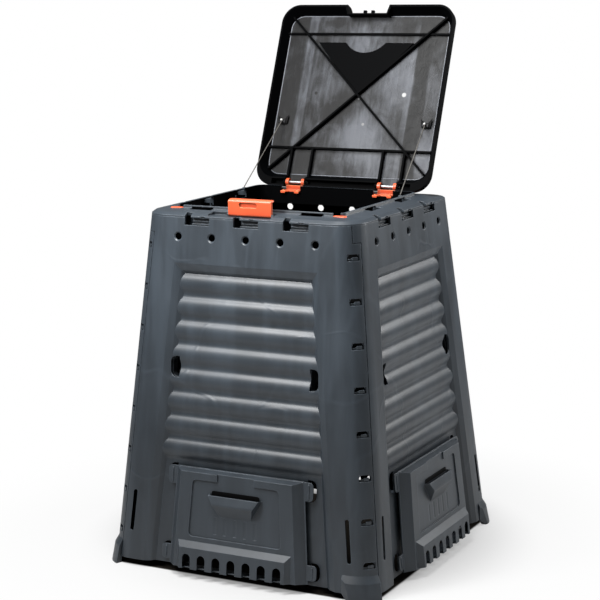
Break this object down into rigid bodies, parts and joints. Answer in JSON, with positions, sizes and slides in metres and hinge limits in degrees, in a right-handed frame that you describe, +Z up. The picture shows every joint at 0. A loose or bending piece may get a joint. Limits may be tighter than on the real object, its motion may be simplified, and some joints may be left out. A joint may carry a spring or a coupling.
{
  "type": "compost bin",
  "caption": "Square tapered plastic compost bin with ribbed interlocking walls, lift-up doors at the bottom and a hinged lid held open by cords.",
  "frame": {"origin": "centre of the bounding box of the bin with its lid open, on the floor; the bin's own middle is 21 mm in front of it", "axes": "+Z up, -Y towards the front with the latch, +X to the right seen from the front"},
  "size_m": [0.951, 0.9819, 1.6194],
  "materials": {
    "panel_plastic": "dark slate grey polypropylene with a fine grain",
    "door_plastic": "the same grey plastic",
    "frame_plastic": "the same grey plastic, a little smoother",
    "lid_plastic": "black plastic, glossy inside",
    "orange_plastic": "satin orange-red plastic",
    "cleat_plastic": "black plastic",
    "steel": "bright zinc-plated steel",
    "cord": "thin dark woven cord"
  },
  "bodies": {
    "bin": {"corner_clip_front_left": "orange_plastic", "corner_clip_front_right": "orange_plastic", "corner_clip_rear_left": "orange_plastic", "corner_clip_rear_right": "orange_plastic", "hinge_bracket_left": "orange_plastic", "hinge_bracket_right": "orange_plastic", "hinge_pin_left": "steel", "hinge_pin_right": "steel", "latch_pin": "steel", "panel_back": "panel_plastic", "panel_front": "panel_plastic", "panel_left": "panel_plastic", "panel_right": "panel_plastic", "stay_cord_left": "cord", "stay_cord_right": "cord", "top_frame": "frame_plastic"},
    "lid": {"cord_cleat_left": "cleat_plastic", "cord_cleat_right": "cleat_plastic", "lid": "lid_plastic"},
    "latch": {"latch": "orange_plastic"},
    "door_front": {"door_front": "door_plastic"},
    "door_right": {"door_right": "door_plastic"},
    "door_back": {"door_back": "door_plastic"},
    "door_left": {"door_left": "door_plastic"}
  },
  "joints": [
    {"name": "lid_hinge", "type": "hinge", "parent": "bin", "child": "lid", "pos_m": [0, 0.249, 1.071], "axis": [1, 0, 0], "range_deg": [0, 112.4], "deforming": ["stay_cord_left", "stay_cord_right"]},
    {"name": "latch_hinge", "type": "hinge", "parent": "bin", "child": "latch", "pos_m": [0, -0.337, 1.0505], "axis": [1, 0, 0], "range_deg": [0, 88]},
    {"name": "door_front_lift", "type": "slide", "parent": "bin", "child": "door_front", "axis": [0, 0.0943, 0.9955], "range_m": [0, 0.316]},
    {"name": "door_right_lift", "type": "slide", "parent": "bin", "child": "door_right", "axis": [-0.0943, 0, 0.9955], "range_m": [0, 0.316]},
    {"name": "door_back_lift", "type": "slide", "parent": "bin", "child": "door_back", "axis": [0, -0.0943, 0.9955], "range_m": [0, 0.316]},
    {"name": "door_left_lift", "type": "slide", "parent": "bin", "child": "door_left", "axis": [0.0943, 0, 0.9955], "range_m": [0, 0.316]}
  ]
}
